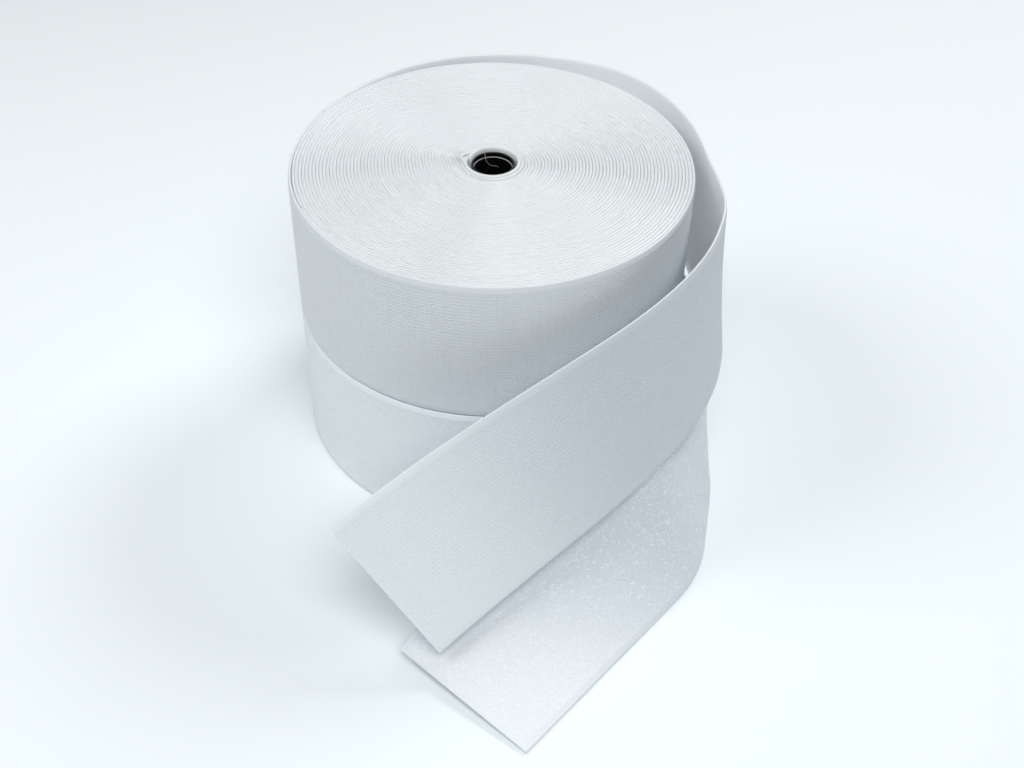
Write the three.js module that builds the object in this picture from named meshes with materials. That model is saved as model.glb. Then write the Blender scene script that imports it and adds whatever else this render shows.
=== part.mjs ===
// A pair of hook and loop tape rolls: the hook roll stands on the loop roll, axes upright.
// Each roll is a tape wound on a core tube, with a loosened last turn and a free tail.
// Millimetres, +Z up. Azimuths and headings are in degrees seen from above, from +X towards +Y.
// Both tapes wind outwards clockwise, so azimuth falls along the tape.
import * as THREE from 'three';

// Tape
const tapeWidth = 100;
const tapeThickness = 1.6;

// Windings: the outer turns are one spiral strip, the packed turns inside them one plain ring
const turnsPerRoll = 53;
const spiralTurns = 20;
const layerGap = 0.56;
const stepsPerTurn = 24;

// Core tubes: a little shorter than the tape is wide, with a ledge a little way into each end of the bore
const coreBoreRadius = 12.6;
const coreWall = 1.2;
const coreRecess = 1;
const coreChamfer = 0.4;
const coreLedgeDepth = 3;
const coreLedgeWidth = 0.5;
const coreSides = 48;

// Clearances: between pieces that rest on each other, and across a tail's bending line
const seatGap = 0.3;
const hingeGap = 0.9;

// Where the last turn lifts off the packed turns behind it
const liftAzimuth = 150;
const looseSteps = 20;
const tailSteps = 40;
const tailColumns = 2;
const settlingPasses = 12;

// Hook roll: its last turn bulges away at the back and passes the right side with a gap.
// Each share pairs an azimuth with the part of the bulge that is reached there.
const hookHingeAzimuth = -0.2;
const hookBulge = 18;
const hookBulgeShares = [[110, 0.36], [75, 0.72], [50, 1], [22, 0.61], [8, 0.455]];
const hookHingeGap = 10.3;
const hookFlare = 9.7;

// Hook tail: it comes round to the front, droops and banks so that its outer face turns up
const hookTailLength = 348;
const hookLead = 28;
const hookTurn = 71;
const hookTurnLength = 252;
const hookTurnEase = 2.6;
const hookDroopEase = 1.78;
const hookEndHeight = 20;
const hookBank = 39.5;

// Loop roll: its last turn stays close to the roll until it leaves on the right
const loopHingeAzimuth = -2.6;
const loopBulge = 3;
const loopBulgeShares = [[60, 0.27], [25, 0.47], [10, 1]];
const loopHingeGap = 9.3;
const loopFlare = 16;

// Loop tail: its lower edge stays on the floor, curving round and then turning a tighter corner,
// while the tape leans over until its end lies nearly flat
const loopTailLength = 337;
const loopLead = 33;
const loopTurn = 24.4;
const loopTurnLength = 72;
const loopCornerStart = 141;
const loopCornerTurn = 30.1;
const loopCornerLength = 48;
const loopLeanLength = 337;
const loopLeanEase = 1.5;
const loopEndLean = 85.7;

// Sizes that follow from those above
const pitch = tapeThickness + layerGap;
const coreRadius = coreBoreRadius + coreWall;
const windingStart = coreRadius + seatGap;
const rollRadius = windingStart + turnsPerRoll * pitch;
const liftRadius = rollRadius - tapeThickness / 2;
const spiralStart = liftRadius - spiralTurns * pitch - tapeThickness / 2;

const hookTape = new THREE.MeshStandardMaterial({ color: 0xdfe2e2, roughness: 0.75, metalness: 0 });
const loopTape = new THREE.MeshStandardMaterial({ color: 0xeef1f4, roughness: 0.95, metalness: 0 });
const corePlastic = new THREE.MeshStandardMaterial({ color: 0x0b0b0c, roughness: 0.5, metalness: 0 });

const radians = THREE.MathUtils.degToRad;
const up = new THREE.Vector3(0, 0, 1);

function polar(radius, azimuth) {
  return new THREE.Vector3(Math.cos(radians(azimuth)), Math.sin(radians(azimuth)), 0).multiplyScalar(radius);
}

// A smooth curve through stations [x, y] with x falling, given its slope at both ends
function smoothCurve(stations, firstSlope, lastSlope) {
  const last = stations.length - 1;
  const slopes = stations.map((station, i) => {
    if (i === 0) return firstSlope;
    if (i === last) return lastSlope;
    return (stations[i + 1][1] - stations[i - 1][1]) / (stations[i + 1][0] - stations[i - 1][0]);
  });
  return (x) => {
    let i = 0;
    while (i < last - 1 && x < stations[i + 1][0]) i += 1;
    const [x0, y0] = stations[i];
    const [x1, y1] = stations[i + 1];
    const span = x1 - x0;
    const t = (x - x0) / span;
    const rise = t * t * (3 - 2 * t);
    const startPull = t * (1 - t) * (1 - t) * span * slopes[i];
    const endPull = t * t * (t - 1) * span * slopes[i + 1];
    return y0 + (y1 - y0) * rise + startPull + endPull;
  };
}

// A closed solid strip through cross-sections of the tape. Each section lists points of the tape's
// middle surface from its lower to its upper edge, with the outward side at each.
function ribbon(sections) {
  const positions = [];
  const indices = [];
  const addCorner = ({ point, outward }, side) => {
    const corner = point.clone().addScaledVector(outward, side * tapeThickness / 2);
    positions.push(corner.x, corner.y, corner.z);
  };
  for (const section of sections) {
    for (const column of section) addCorner(column, 1);
    for (const column of section) addCorner(column, -1);
  }
  const columns = sections[0].length - 1;
  const outer = (i, j) => 2 * (columns + 1) * i + j;
  const inner = (i, j) => outer(i, j) + columns + 1;
  const quad = (a, b, c, d) => indices.push(a, b, c, a, c, d);
  const last = sections.length - 1;
  for (let i = 0; i < last; i += 1) {
    for (let j = 0; j < columns; j += 1) {
      quad(outer(i, j), outer(i, j + 1), outer(i + 1, j + 1), outer(i + 1, j));
      quad(inner(i, j), inner(i + 1, j), inner(i + 1, j + 1), inner(i, j + 1));
    }
    quad(inner(i, 0), outer(i, 0), outer(i + 1, 0), inner(i + 1, 0));
    quad(outer(i, columns), inner(i, columns), inner(i + 1, columns), outer(i + 1, columns));
  }
  for (let j = 0; j < columns; j += 1) {
    quad(inner(0, j), inner(0, j + 1), outer(0, j + 1), outer(0, j));
    quad(inner(last, j), outer(last, j), outer(last, j + 1), inner(last, j + 1));
  }
  const geometry = new THREE.BufferGeometry();
  geometry.setAttribute('position', new THREE.Float32BufferAttribute(positions, 3));
  geometry.setIndex(indices);
  geometry.computeVertexNormals();
  return geometry;
}

// The spiral of outer turns and the loosened last turn, up to the tail's bending line
function windingSections(roll) {
  const sections = [];
  const at = (radius, azimuth, outward) => {
    const low = polar(radius, azimuth);
    const high = low.clone().setZ(tapeWidth);
    sections.push([{ point: low, outward }, { point: high, outward }]);
  };
  for (let step = -spiralTurns * stepsPerTurn; step < 0; step += 1) {
    const azimuth = liftAzimuth - 360 * step / stepsPerTurn;
    at(liftRadius + pitch * step / stepsPerTurn, azimuth, polar(1, azimuth));
  }
  const stop = roll.hingeAzimuth + THREE.MathUtils.radToDeg(hingeGap / 2 / roll.hingeRadius);
  for (let step = 0; step <= looseSteps; step += 1) {
    const azimuth = THREE.MathUtils.lerp(liftAzimuth, stop, step / looseSteps);
    const radius = roll.looseRadius(azimuth);
    const travel = polar(roll.looseRadius(azimuth - 1), azimuth - 1);
    travel.sub(polar(roll.looseRadius(azimuth + 1), azimuth + 1)).normalize();
    at(radius, azimuth, up.clone().cross(travel));
  }
  return sections;
}

// A free tail: its guide line leaves the bending line and follows the tail's heading and slope.
// The guide line is the tape's middle, or its lower edge where that stays on the floor.
function tailSections(roll, tail) {
  const sections = [];
  const guide = polar(roll.hingeRadius, roll.hingeAzimuth);
  const step = (tail.length - hingeGap / 2) / tailSteps;
  const advance = (from, length) => {
    const middle = from + length / 2;
    const run = length * Math.sqrt(1 - tail.slope(middle) ** 2);
    guide.add(polar(run, tail.heading(middle)));
  };
  const travelAt = (s) => {
    const slope = tail.slope(s);
    return polar(Math.sqrt(1 - slope * slope), tail.heading(s)).setZ(slope);
  };
  const acrossAt = (s) => {
    const inward = polar(1, tail.heading(s) - 90);
    const rise = inward.clone().cross(travelAt(s));
    const bank = radians(tail.bank(s));
    return rise.multiplyScalar(Math.cos(bank)).addScaledVector(inward, Math.sin(bank));
  };
  advance(0, hingeGap / 2);
  for (let i = 0; i <= tailSteps; i += 1) {
    const s = hingeGap / 2 + i * step;
    const across = acrossAt(s);
    // How the direction across the tape changes along it, which tilts the surface away from the guide
    const twist = acrossAt(s + step / 2).sub(acrossAt(s - step / 2)).divideScalar(step);
    const columns = [];
    for (let j = 0; j <= tailColumns; j += 1) {
      const reach = tail.guideToMiddle + tapeWidth * (j / tailColumns - 0.5);
      const point = guide.clone().setZ(tail.height(s)).addScaledVector(across, reach);
      const along = travelAt(s).addScaledVector(twist, reach);
      columns.push({ point, outward: across.clone().cross(along).normalize() });
    }
    sections.push(columns);
    if (i < tailSteps) advance(s, step);
  }
  return sections;
}

// Where a roll's loosened turn runs, and where and how its tail begins
function rollLayout(hingeAzimuth, bulge, bulgeShares, gapAtHinge, flare) {
  const spiralRadius = (azimuth) => liftRadius + pitch * (liftAzimuth - azimuth) / 360;
  const hingeRadius = spiralRadius(hingeAzimuth) + gapAtHinge;
  const hingeSlope = -radians(1) * hingeRadius * Math.tan(radians(flare)) + pitch / 360;
  const gaps = bulgeShares.map(([azimuth, share]) => [azimuth, share * bulge]);
  const stations = [[liftAzimuth, 0], ...gaps, [hingeAzimuth, gapAtHinge]];
  const gap = smoothCurve(stations, 0, hingeSlope);
  return {
    hingeAzimuth,
    hingeRadius,
    startHeading: hingeAzimuth - 90 + flare,
    looseRadius: (azimuth) => spiralRadius(azimuth) + gap(azimuth),
  };
}

const hookLayout = rollLayout(hookHingeAzimuth, hookBulge, hookBulgeShares, hookHingeGap, hookFlare);
const loopLayout = rollLayout(loopHingeAzimuth, loopBulge, loopBulgeShares, loopHingeGap, loopFlare);

function hookTailShape() {
  const share = (s) => Math.max(s / hookTailLength, 0);
  const floorLevel = -(tapeWidth + seatGap);
  const startHeight = tapeWidth / 2;
  // How far the middle of the tail's end stands above its lower corner, for a given droop
  const halfRise = (droop) => {
    const slope = droop * hookDroopEase / hookTailLength;
    return Math.cos(radians(hookBank)) * Math.sqrt(1 - slope * slope) * tapeWidth / 2;
  };
  let droop = startHeight - floorLevel - hookEndHeight;
  for (let pass = 0; pass < settlingPasses; pass += 1) {
    droop = startHeight - floorLevel - hookEndHeight - halfRise(droop);
  }
  return {
    length: hookTailLength,
    guideToMiddle: 0,
    heading: (s) => {
      const left = 1 - THREE.MathUtils.clamp((s - hookLead) / hookTurnLength, 0, 1);
      return hookLayout.startHeading - hookTurn * (1 - left ** hookTurnEase);
    },
    height: (s) => startHeight - droop * share(s) ** hookDroopEase,
    slope: (s) => -droop * hookDroopEase * share(s) ** (hookDroopEase - 1) / hookTailLength,
    bank: (s) => hookBank * share(s),
  };
}

function loopTailShape() {
  const lean = (s) => loopEndLean * THREE.MathUtils.clamp(s / loopLeanLength, 0, 1) ** loopLeanEase;
  return {
    length: loopTailLength,
    guideToMiddle: tapeWidth / 2,
    heading: (s) => {
      const turned = loopTurn * THREE.MathUtils.clamp((s - loopLead) / loopTurnLength, 0, 1);
      const corner = loopCornerTurn * THREE.MathUtils.clamp((s - loopCornerStart) / loopCornerLength, 0, 1);
      return loopLayout.startHeading - turned - corner;
    },
    height: (s) => Math.sin(radians(lean(s))) * tapeThickness / 2,
    slope: () => 0,
    bank: lean,
  };
}

// The least distance between one turn of a winding and the next, measured on its points
function leastSelfGap(sections) {
  const face = (side) => sections.map(([{ point, outward }]) => {
    return point.clone().addScaledVector(outward, side * tapeThickness / 2);
  });
  const outer = face(1);
  const inner = face(-1);
  const nearest = new THREE.Vector3();
  let least = Infinity;
  for (let j = stepsPerTurn / 2; j < inner.length - 1; j += 1) {
    const edge = new THREE.Line3(inner[j], inner[j + 1]);
    for (let i = 0; i < j - stepsPerTurn / 2; i += 1) {
      edge.closestPointToPoint(outer[i], true, nearest);
      least = Math.min(least, nearest.distanceTo(outer[i]));
    }
  }
  return least;
}

// A revolved ring about the roll's axis, from a closed outline of [radius, height]
function revolved(outline, sides) {
  const points = [...outline, outline[0]].map(([radius, height]) => new THREE.Vector2(radius, height));
  return new THREE.LatheGeometry(points, sides).rotateX(Math.PI / 2);
}

function coreGeometry() {
  const narrow = coreBoreRadius - coreLedgeWidth;
  const low = coreRecess;
  const high = tapeWidth - coreRecess;
  const outside = [
    [coreRadius - coreChamfer, low],
    [coreRadius, low + coreChamfer],
    [coreRadius, high - coreChamfer],
    [coreRadius - coreChamfer, high],
  ];
  const bore = [
    [coreBoreRadius, high],
    [coreBoreRadius, high - coreLedgeDepth],
    [narrow, high - coreLedgeDepth],
    [narrow, low + coreLedgeDepth],
    [coreBoreRadius, low + coreLedgeDepth],
    [coreBoreRadius, low],
  ];
  return revolved([...outside, ...bore], coreSides);
}

// The packed turns next to the core, faceted like the spiral around them
function packedTurnsGeometry() {
  const flatToCorner = 1 / Math.cos(Math.PI / stepsPerTurn);
  const inside = windingStart * flatToCorner;
  const outside = spiralStart - seatGap;
  const outline = [[outside, 0], [outside, tapeWidth], [inside, tapeWidth], [inside, 0]];
  return revolved(outline, stepsPerTurn);
}

function makeRoll(name, tapeMaterial, layout, tail) {
  const roll = new THREE.Group();
  const addPiece = (piece, geometry, material) => {
    const mesh = new THREE.Mesh(geometry, material);
    mesh.name = `${name}_${piece}`;
    roll.add(mesh);
  };
  const winding = windingSections(layout);
  addPiece('core', coreGeometry(), corePlastic);
  addPiece('packed_turns', packedTurnsGeometry(), tapeMaterial);
  addPiece('outer_turns', ribbon(winding), tapeMaterial);
  addPiece('tail', ribbon(tailSections(layout, tail)), tapeMaterial);
  console.log(`${name} winding: least gap between turns ${leastSelfGap(winding).toFixed(3)} mm`);
  return roll;
}

const loopRoll = makeRoll('loop', loopTape, loopLayout, loopTailShape());
const hookRoll = makeRoll('hook', hookTape, hookLayout, hookTailShape());
hookRoll.position.z = tapeWidth + seatGap;

// The origin is the middle of the pair's footprint, on the floor
const pair = new THREE.Group();
pair.add(loopRoll, hookRoll);
const footprint = new THREE.Box3().setFromObject(pair, true);
const middle = footprint.getCenter(new THREE.Vector3());
pair.position.set(-middle.x, -middle.y, -footprint.min.z);

const report = (label, point) => {
  console.log(label, point.clone().add(pair.position).toArray().map((value) => value.toFixed(2)).join(', '));
};
report('roll axis', new THREE.Vector3());
report('hook tail bending line', polar(hookLayout.hingeRadius, hookLayout.hingeAzimuth));
report('loop tail bending line', polar(loopLayout.hingeRadius, loopLayout.hingeAzimuth));
console.log(`roll radius ${rollRadius.toFixed(2)} mm`);

export default pair;
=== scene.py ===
"""A hook tape roll standing on a loop tape roll, each with a loosened last turn and a free tail."""

import math

import bpy
import numpy as np
from bpy.props import FloatProperty, FloatVectorProperty, IntProperty, PointerProperty
from bpy.types import Operator, Panel, PropertyGroup
from mathutils import Matrix, Vector


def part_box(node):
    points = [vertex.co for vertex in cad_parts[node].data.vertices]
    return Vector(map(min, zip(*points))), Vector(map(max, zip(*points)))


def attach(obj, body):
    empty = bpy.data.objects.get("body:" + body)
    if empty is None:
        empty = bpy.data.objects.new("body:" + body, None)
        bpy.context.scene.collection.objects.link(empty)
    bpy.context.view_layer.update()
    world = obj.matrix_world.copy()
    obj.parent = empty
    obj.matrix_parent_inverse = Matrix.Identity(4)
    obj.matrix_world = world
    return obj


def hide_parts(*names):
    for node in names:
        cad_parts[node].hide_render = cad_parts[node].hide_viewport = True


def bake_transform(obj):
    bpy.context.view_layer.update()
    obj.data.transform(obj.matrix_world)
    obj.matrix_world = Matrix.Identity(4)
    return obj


bl_info = {
    "name": "Hook and loop tape rolls",
    "version": (1, 0, 0),
    "blender": (4, 5, 0),
    "location": "View3D > Sidebar > Tape rolls",
    "description": "Builds two wound tapes on core tubes, their free tails and a pale studio",
    "category": "Add Mesh",
}

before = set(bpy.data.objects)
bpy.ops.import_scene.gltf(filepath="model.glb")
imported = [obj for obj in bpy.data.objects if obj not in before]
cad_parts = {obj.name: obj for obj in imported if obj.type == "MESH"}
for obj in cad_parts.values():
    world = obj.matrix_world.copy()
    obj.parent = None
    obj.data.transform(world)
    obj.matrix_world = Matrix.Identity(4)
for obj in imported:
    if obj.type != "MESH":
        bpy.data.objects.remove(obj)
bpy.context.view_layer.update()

# Where the rolls stand: their shared axis and the height of each roll's lower face
CORE_LOW, CORE_HIGH = (np.array(corner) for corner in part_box("hook_core"))
AXIS = np.array([(CORE_LOW[0] + CORE_HIGH[0]) / 2, (CORE_LOW[1] + CORE_HIGH[1]) / 2, 0.0])
LOOP_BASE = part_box("loop_packed_turns")[0][2]
HOOK_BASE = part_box("hook_packed_turns")[0][2]
UP = np.array([0.0, 0.0, 1.0])

# How far each loosened turn stands off the roll: azimuth in degrees and share of the tape's bulge
HOOK_GAP_SHARES = ((110, 0.36), (75, 0.72), (50, 1.0), (22, 0.635), (8, 0.495))
LOOP_GAP_SHARES = ((60, 0.33), (25, 0.75), (10, 1.5))

# A tape's edge from its field round to its back: height above the middle and distance from the edge
SELVEDGE = (
    (0.00125, 0.0048),
    (0.00116, 0.0036),
    (0.00096, 0.0024),
    (0.00080, 0.0014),
    (0.00066, 0.0006),
    (0.00040, 0.00010),
    (0.00005, 0.0),
    (-0.00035, 0.00004),
    (-0.00064, 0.00016),
    (-0.00080, 0.00045),
)
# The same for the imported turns, whose faces press on their neighbours close to the edge
PACKED_EDGE = (
    (0.00128, 0.0022),
    (0.00122, 0.0014),
    (0.00110, 0.0009),
    (0.00092, 0.0005),
    (0.00068, 0.0002),
    (0.00038, 0.00005),
    *SELVEDGE[6:],
)
# The share of a step at which a strip's second row and last row but one lie
END_ROW = 0.01
# Places of the finishes among a tape's and a core tube's materials
FIELD, CLOTH = 0, 1
RIM, LIP_HIGHLIGHT, BORE = 0, 1, 2
# Points of a tape's edge, from the face on, that have the face's finish
EDGE_POINTS = 5
# Columns across a tape's back, and points across one rib of hooks
BACK_COLUMNS = 24
RIB_POINTS = 4
TAPE_UV = "tape"
# The share of a core rim's rounding that cuts its corner, and the least angle of a core's sharp edge
RIM_CUT = 0.3
SHARP_DEGREES = 50

# Points along a route, degrees to each side for its direction, and rounds that settle the hook tail's droop
ROUTE_POINTS = 40000
DIRECTION_STEP = 0.5
SETTLING_ROUNDS = 12
# Turns over which the collar keeps its height, and over which it then fades
COLLAR_FULL, COLLAR_FADE = 0.6, 2.2
# Degrees of tape before the lift that show their face on the roll's side
LAST_TURN_SPAN = 414
# Steps along the tapes, in degrees for the turns and in metres for the tails
WOUND_STEP = 3.75
HOOK_TURN_STEP, LOOP_TURN_STEP = 2.0, 0.7
HOOK_TAIL_STEP, LOOP_TAIL_STEP = 0.002, 0.0015
# Seeds of the random draws
HOOK_SEED, LOOP_SEED, TAIL_FIBRE_SEED, ROLL_FIBRE_SEED = 10, 20, 31, 32
NOISE_VALUES = 1024
# The uneven tuck of a tape's edge: share and spacing of two noises, and the band that is tucked
TUCK_NOISES = ((0.65, 0.035), (0.35, 0.9))
TUCK_BAND = 0.004
# The folded start's share of the spread of its push, and points over it
FOLD_SHARE = 0.6
FOLD_POINTS = 13

# Loose fibres: outline, width over thickness, reach from the tape's middle, depth of the roots in the pile
FIBRE_OUTLINE = np.array([(-1.0, 1.0), (1.0, 1.0), (1.0, -1.0), (-1.0, -1.0)])
FIBRE_FLATNESS = 4
FIBRE_REACH = 0.046
FIBRE_ROOT = 0.0002
# Their least and greatest span, lift and curl, points along each, and sections over the roll's side
FIBRE_LIMITS = ((0.0008, 0.0030), (0.0001, 0.0003), (-0.0008, 0.0008))
FIBRE_POINTS = 6
FIBRE_ROWS = 700

# The stray thread's points about the rolls' axis, with heights from the collar's upper edge
THREAD = (
    (-0.0066, 0.0134, -0.0006),
    (-0.0061, 0.0122, 0.0001),
    (-0.0053, 0.0098, -0.0020),
    (-0.0042, 0.0064, -0.0052),
    (-0.0014, 0.0034, -0.0062),
    (0.0016, 0.0020, -0.0058),
    (0.0036, 0.0026, -0.0070),
)
THREAD_RADIUS = 0.00012
THREAD_ROWS = 49
THREAD_SIDES = 6

# Spacing of each tape's weave along and across, and how deep light passes into each cloth
WEAVES = {"hook": (0.0011, 0.0011), "loop": (0.0009, 0.0012)}
LIGHT_DEPTHS = {"hook_back": 0.006, "hook_cloth": 0.006, "loop_back": 0.0, "loop_cloth": 0.003}
# Distances along the tape between which its colour changes, painted shade where it leaves the roll and
# painted light towards its cut end, and how much earlier the painted light comes lower down on the loop tape
LEAVING_SHADE_RUN = (-0.1, 0.03)
HOOK_END_LIGHT_RUN = (0.16, 0.33)
LOOP_END_LIGHT_RUN = (0.19, 0.35)
LOOP_LIGHT_SLANT = 1.1
# Where the hook face's cross streaks fade out, and the part of the drift's tone that shows
STREAKS_END = (-0.35, -0.25)
TONE_RANGE = (0.35, 0.65)
# The Mix node's colour sockets
MIX_INPUTS = (0, 6, 7)
MIX_RESULT = 2

# The stage: the floor, then each light's place and width and the height at which the lights aim
FLOOR_RADIUS = 6.0
FLOOR_SIDES = 64
FLOOR_LEVEL = -0.0003
FRONT_LAMP = ((0.25, -1.05, 1.92), 1.4)
RIGHT_LAMP = ((1.0, 1.05, 1.62), 0.8)
LEFT_LAMP = ((-1.3, 0.0, 1.45), 1.0)
LAMP_TARGET = 0.1
LAMP_COLOUR = (0.965, 0.99, 1.0)


def length(name, description, default):
    """A size in metres."""
    return FloatProperty(name=name, description=description, default=default, unit="LENGTH", precision=5)


def angle(name, description, degrees):
    """An angle, given in degrees and kept in radians."""
    return FloatProperty(name=name, description=description, default=math.radians(degrees), subtype="ANGLE")


def amount(name, description, default):
    """A plain number."""
    return FloatProperty(name=name, description=description, default=default, precision=4)


def count(name, description, default):
    """A whole number."""
    return IntProperty(name=name, description=description, default=default, min=1)


def tint(name, description, default):
    """A colour."""
    return FloatVectorProperty(
        name=name, description=description, default=default, subtype="COLOR", size=3, min=0.0, max=1.0
    )


class TapeSizes(PropertyGroup):
    """Sizes that both tapes share."""

    width: length("Tape width", "Width of both tapes", 0.1)
    thickness: length("Cloth thickness", "Thickness of the woven cloth", 0.0016)
    pitch: length("Turn pitch", "Distance from one turn to the next", 0.00216)
    roll_radius: length("Roll radius", "Outside radius of the wound roll", 0.12858)
    winding_start: length("Winding start", "Inside radius of the first turn", 0.0141)
    lift_azimuth: angle("Lift azimuth", "Where the last turn lifts off the roll", 150)
    start_azimuth: angle("Start azimuth", "Where the tape's folded start lies on the core", 163)
    start_fold: length("Start fold", "How far the folded start pushes out the turns over it", 0.0036)
    start_fade: length("Start fade", "How much of that push each further turn evens out", 0.00009)
    start_spread: angle("Start spread", "How far round to each side that push reaches", 24)
    start_depth: length("Start depth", "How far the folded start lies below the tape's edge", 0.0008)
    edge_tuck: length("Edge tuck", "How far a turn's edge may lie below its neighbours", 0.0004)
    bend: length("Bend", "Half of the run over which a swung tail bends", 0.02)


class CoreSizes(PropertyGroup):
    """Sizes of the core tubes."""

    bore_radius: length("Bore radius", "Radius of the bore at its ends", 0.0126)
    wall: length("Wall", "Wall of the tube", 0.0012)
    recess: length("Recess", "How far the tube ends below the tape's edge", 0.001)
    rim_round: length("Rim round", "Rounding of the tube's rims", 0.0004)
    ledge_depth: length("Ledge depth", "Depth of the bore's ledge below the rim", 0.003)
    ledge_width: length("Ledge width", "Width of the bore's ledge", 0.0005)
    sides: count("Sides", "Facets round the tube", 128)


class HookSizes(PropertyGroup):
    """The hook tape's loosened turn and tail."""

    collar: length("Collar", "How far the innermost turns stand up out of the roll's face", 0.0016)
    hinge_azimuth: angle("Bending line", "Azimuth of the tail's bending line", -0.2)
    bulge: length("Bulge", "Largest gap behind the loosened turn", 0.018)
    hinge_gap: length("Gap at bending line", "Gap between roll and tape at the bending line", 0.0103)
    join: length("Join", "Tape before the bending line in the tail's piece, back to the roll", 0.368)
    flare: angle("Flare", "Outward turn of the tape at the bending line", 9.7)
    tail_length: length("Tail length", "Length of tape beyond the bending line", 0.348)
    lead: length("Lead", "Straight run before the tail turns", 0.028)
    turn: angle("Turn", "How far the tail turns to the front", 71)
    turn_length: length("Turn length", "Run over which the tail turns", 0.252)
    turn_ease: amount("Turn ease", "How early the turn happens", 2.6)
    droop_ease: amount("Droop ease", "How late the tail droops", 1.78)
    end_height: length("End height", "Height of the tail's lowest corner above the floor", 0.02)
    bank: angle("Bank", "How far the tail's end banks", 39.5)
    bank_ease: length("Bank ease", "Run over which the bank sets in", 0.06)
    rib_pitch: length("Rib pitch", "Distance between the rows of hooks", 0.0024)
    rib_height: length("Rib height", "Height of the rows of hooks", 0.0002)


class LoopSizes(PropertyGroup):
    """The loop tape's loosened turn, tail and pile."""

    hinge_azimuth: angle("Bending line", "Azimuth of the tail's bending line", -2.6)
    bulge: length("Bulge", "Gap behind the loosened turn where its share is 1", 0.003)
    hinge_gap: length("Gap at bending line", "Gap between roll and tape at the bending line", 0.0093)
    join: length("Join", "Tape before the bending line in the tail's piece", 0.025)
    flare: angle("Flare", "Outward turn of the tape at the bending line", 16)
    tail_length: length("Tail length", "Length of tape beyond the bending line", 0.337)
    lead: length("Lead", "Straight run before the tail turns", 0.033)
    turn: angle("Turn", "How far the tail curves to the front", 24.4)
    turn_length: length("Turn length", "Run over which the tail curves", 0.072)
    corner_start: length("Corner start", "Distance from the bending line to the tail's corner", 0.141)
    corner_turn: angle("Corner turn", "How far the tail turns at its corner", 30.1)
    corner_length: length("Corner length", "Run over which the corner turns", 0.048)
    lean_ease: amount("Lean ease", "How late the tail leans over", 1.5)
    end_lean: angle("End lean", "How far the tail's end has leaned over", 85.7)
    pile_column: length("Pile column", "Distance between the points of the pile's surface", 0.0013)
    pile_rough: length("Pile roughness", "How far the pile's surface rises and falls", 0.00028)
    fibres: count("Fibres", "Loose fibres standing out of the pile", 5000)
    fibre_width: length("Fibre width", "Width of a loose fibre, which is flat", 0.0004)


class TapeFinish(PropertyGroup):
    """Colours of the pieces."""

    hook_field: tint("Hook field", "Colour of the hook tape's face on the roll", (0.80, 0.835, 0.87))
    # Painted shade and light: the hook face is darker where it leaves the roll, for the light that a single
    # turn lets through, and lighter towards its cut end, which lies flatter and faces up to the lamps
    hook_tail: tint("Hook tail", "Colour of the hook face where it leaves the roll", (0.655, 0.70, 0.745))
    hook_end_painted_light: tint("Hook end", "Colour of the hook tape's face at its cut end", (0.87, 0.92, 0.955))
    hook_cloth: tint("Hook cloth", "Colour of the packed hook turns' edges", (0.865, 0.91, 0.95))
    hook_back: tint("Hook back", "Colour of the hook tape's back", (0.83, 0.875, 0.915))
    loop_field: tint("Loop field", "Colour of the loop tape's pile on the roll", (0.91, 0.965, 0.995))
    # Painted shade and light: the pile is darker where the tape leaves the roll and stands up, and lighter
    # towards its cut end, which lies flat on the floor facing up to the lamps
    loop_tail: tint("Loop tail", "Colour of the pile where the tape leaves the roll", (0.70, 0.757, 0.815))
    loop_end_painted_light: tint("Loop end", "Colour of the pile at the tape's cut end", (0.90, 0.935, 0.965))
    loop_fibre: tint("Loop fibre", "Colour of the loose fibres on the pile", (0.95, 0.98, 1.0))
    loop_cloth: tint("Loop cloth", "Colour of the packed loop turns' edges", (0.86, 0.915, 0.965))
    loop_back: tint("Loop back", "Colour of the loop tape's back", (0.76, 0.81, 0.855))
    core: tint("Core", "Colour of the core tubes", (0.006, 0.006, 0.0065))
    # Painted highlight: the lip of the bores' ledge is pale grey, for the highlight along its rounded edge
    core_lip_highlight: tint("Core lip", "Colour of the worn lip in the core tubes' bores", (0.36, 0.37, 0.38))
    floor: tint("Floor", "Colour of the floor", (0.90, 0.945, 0.96))


class Studio(PropertyGroup):
    """Camera and light."""

    camera_back: length("Camera back", "Distance of the camera in front of the rolls' axis", 0.71754)
    camera_height: length("Camera height", "Height of the camera above the floor", 0.66734)
    camera_heading: angle("Camera heading", "Turn of the camera to the right", 1.2157)
    camera_pitch: angle("Camera pitch", "Tilt of the camera below level", 42.463)
    camera_roll: angle("Camera roll", "Turn of the camera about its view", 1.3392)
    lens: amount("Lens", "Focal length in millimetres", 47.048)
    ambient: amount("Ambient", "Strength of the light from all around", 0.16)
    front_power: amount("Front light", "Power of the large light in front, overhead", 25.2)
    right_power: amount("Right light", "Power of the light behind on the right", 16.5)
    left_power: amount("Left light", "Power of the light on the left", 11.5)


# Curves and directions

def polar(radius, azimuth):
    """Points about the rolls' axis, or directions, at an azimuth in degrees from +X towards +Y."""
    turn = np.radians(azimuth)
    return np.stack(np.broadcast_arrays(radius * np.cos(turn), radius * np.sin(turn), 0.0), axis=-1)


def unit(vectors):
    """The vectors at length one."""
    return vectors / np.linalg.norm(vectors, axis=-1, keepdims=True)


def smoothstep(value):
    """A smooth rise from 0 to 1."""
    t = np.clip(value, 0.0, 1.0)
    return t * t * (3 - 2 * t)


def eased(t, begin, end, begin_slope, end_slope):
    """A smooth value at a share of the way between two ends, with its slopes there."""
    rise = t * t * (3 - 2 * t)
    pull = t * (1 - t) ** 2 * begin_slope + t * t * (t - 1) * end_slope
    return begin + (end - begin) * rise + pull


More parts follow.
